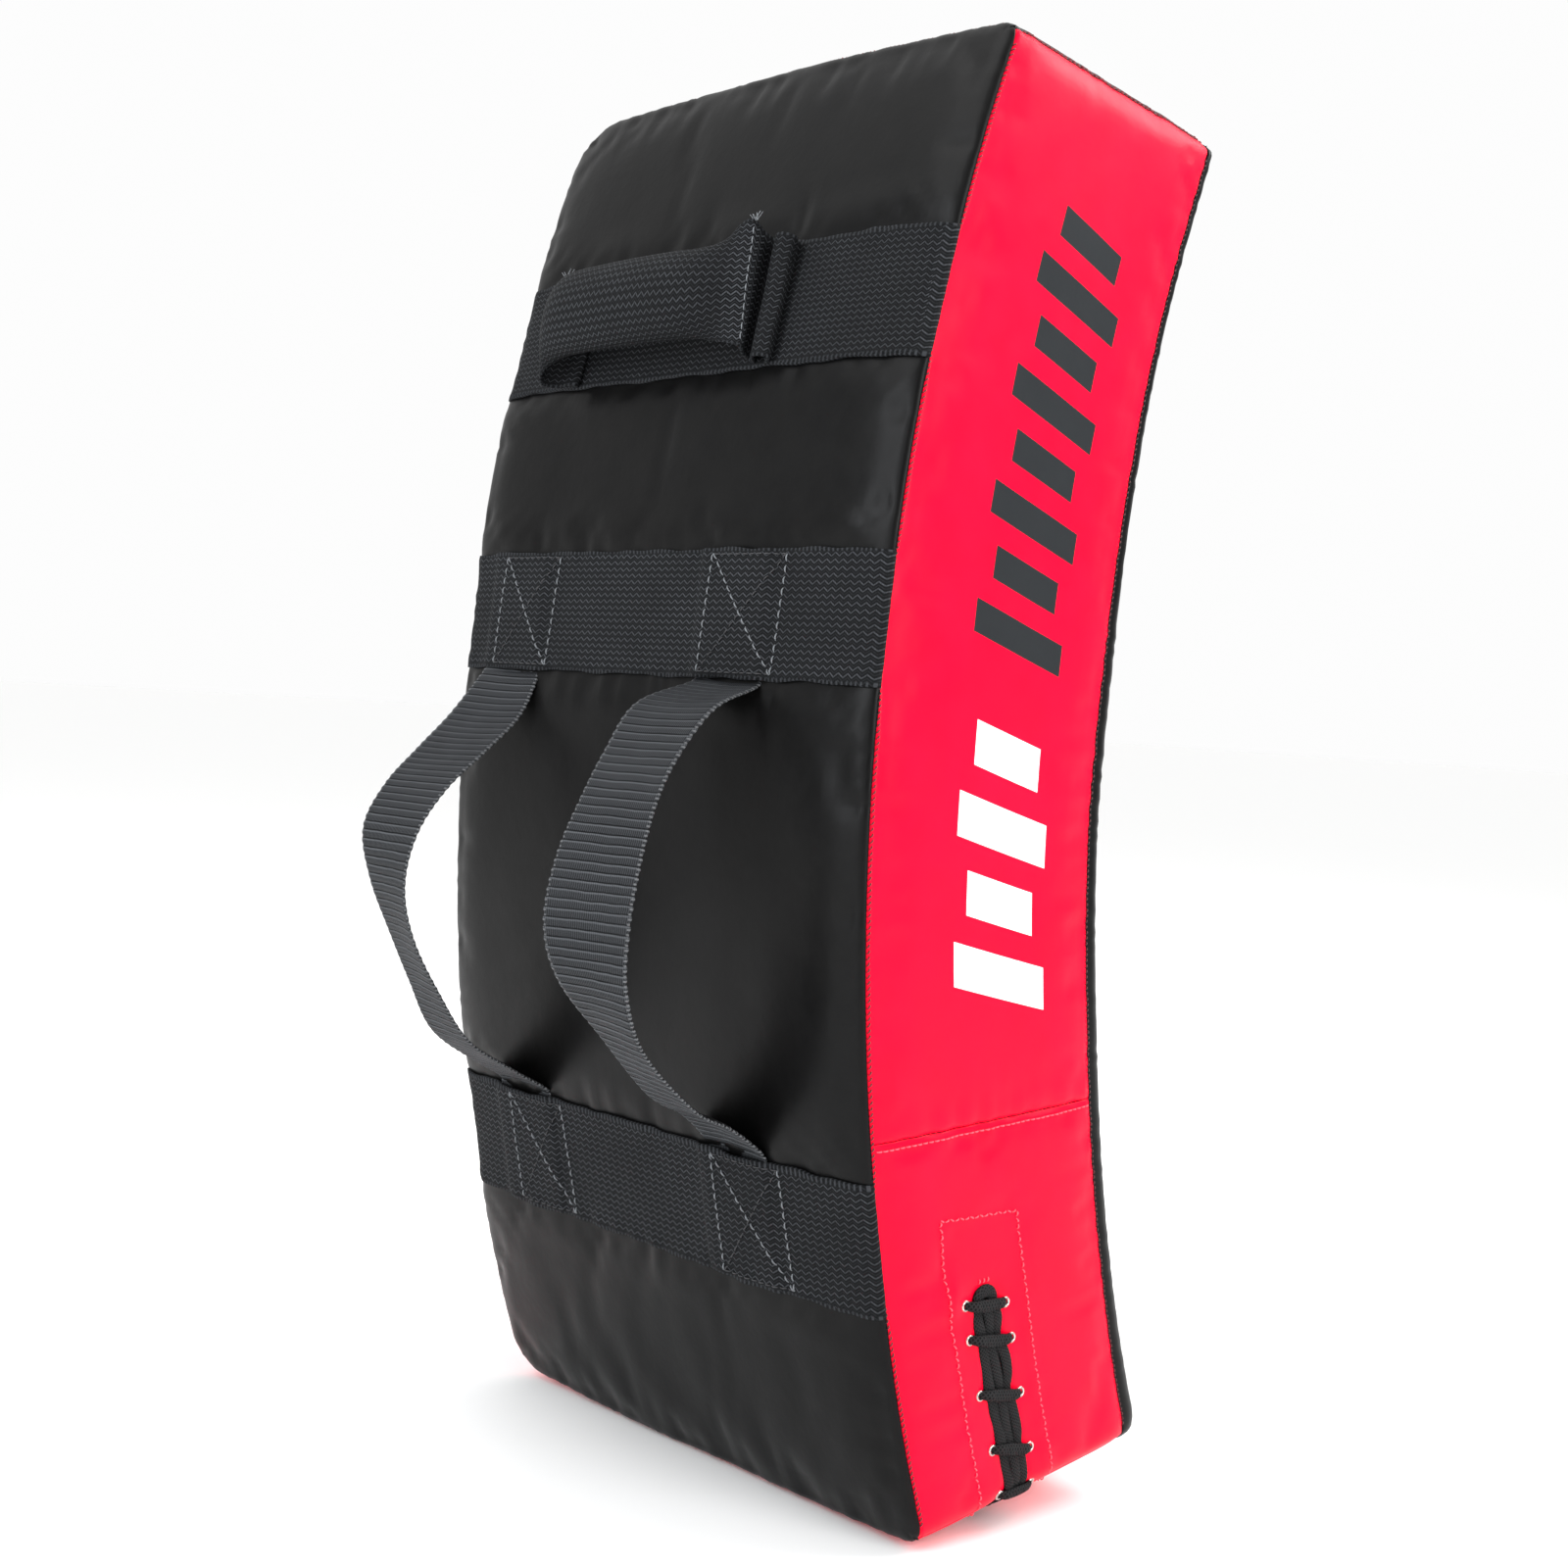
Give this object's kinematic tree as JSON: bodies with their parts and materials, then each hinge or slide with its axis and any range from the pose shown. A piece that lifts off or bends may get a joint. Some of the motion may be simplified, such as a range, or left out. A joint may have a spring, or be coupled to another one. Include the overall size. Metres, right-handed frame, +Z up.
{
  "type": "kick shield",
  "caption": "Curved padded kick shield in a laced leatherette cover, with webbing bands, a padded grip handle and webbing arm loops across its convex back.",
  "frame": {"origin": "centre of the bounding box's bottom: mid width, on the level of the lowest edge of the bottom end", "axes": "+Z up along the shield's straight chord, +X towards the laced side, +Y out of the concave strike face, -Y out of the convex back with the handles"},
  "size_m": [0.3546, 0.3155, 0.75],
  "materials": {
    "black_leatherette": "satin",
    "red_leatherette": "satin",
    "soft_foam": "matte",
    "firm_foam": "matte",
    "band_webbing": "matte",
    "loop_webbing": "matte",
    "lace_cord": "matte",
    "lining": "matte",
    "eyelet_steel": "polished"
  },
  "bodies": {
    "shield": {"arm_loop_far_lower_tail": "loop_webbing", "arm_loop_far_upper_tail": "loop_webbing", "arm_loop_near_lower_tail": "loop_webbing", "arm_loop_near_upper_tail": "loop_webbing", "back_cover_panel": "black_leatherette", "bottom_end_panel": "black_leatherette", "eyelet_01": "eyelet_steel", "eyelet_02": "eyelet_steel", "eyelet_03": "eyelet_steel", "eyelet_04": "eyelet_steel", "eyelet_05": "eyelet_steel", "eyelet_06": "eyelet_steel", "eyelet_07": "eyelet_steel", "eyelet_08": "eyelet_steel", "eyelet_09": "eyelet_steel", "eyelet_10": "eyelet_steel", "eyelet_11": "eyelet_steel", "eyelet_12": "eyelet_steel", "eyelet_13": "eyelet_steel", "eyelet_14": "eyelet_steel", "eyelet_15": "eyelet_steel", "eyelet_16": "eyelet_steel", "eyelet_17": "eyelet_steel", "eyelet_18": "eyelet_steel", "foam_back_layer": "firm_foam", "foam_core_layer": "soft_foam", "foam_strike_layer": "firm_foam", "handle_far_tail": "band_webbing", "handle_near_tail": "band_webbing", "lace": "lace_cord", "laced_side_lower_panel": "red_leatherette", "laced_side_upper_panel": "red_leatherette", "lacing_facing_end": "red_leatherette", "lacing_facing_side": "red_leatherette", "lacing_tongue": "lining", "lower_band": "band_webbing", "middle_band": "band_webbing", "plain_side_panel": "red_leatherette", "strike_cover_panel": "black_leatherette", "top_band": "band_webbing", "top_end_panel": "black_leatherette"},
    "near_loop": {"arm_loop_near": "loop_webbing"},
    "far_loop": {"arm_loop_far": "loop_webbing"},
    "grip_handle": {"grip_handle_webbing": "band_webbing", "grip_handle_foam": "soft_foam"}
  },
  "joints": [
    {"name": "near_loop_swing", "type": "hinge", "parent": "shield", "child": "near_loop", "pos_m": [0.071, -0.06539, 0.4238], "axis": [-0.0419, -0.0659, 0.997], "range_deg": [-40, 40], "stiffness_Nm_per_rad": 0.12},
    {"name": "far_loop_swing", "type": "hinge", "parent": "shield", "child": "far_loop", "pos_m": [-0.1195, -0.06539, 0.4238], "axis": [-0.0565, -0.0658, 0.9962], "range_deg": [-40, 40], "stiffness_Nm_per_rad": 0.12},
    {"name": "grip_handle_tilt", "type": "hinge", "parent": "shield", "child": "grip_handle", "pos_m": [-0.022, -0.0403, 0.61468], "axis": [1, 0, 0], "range_deg": [-20, 20], "stiffness_Nm_per_rad": 0.35}
  ]
}
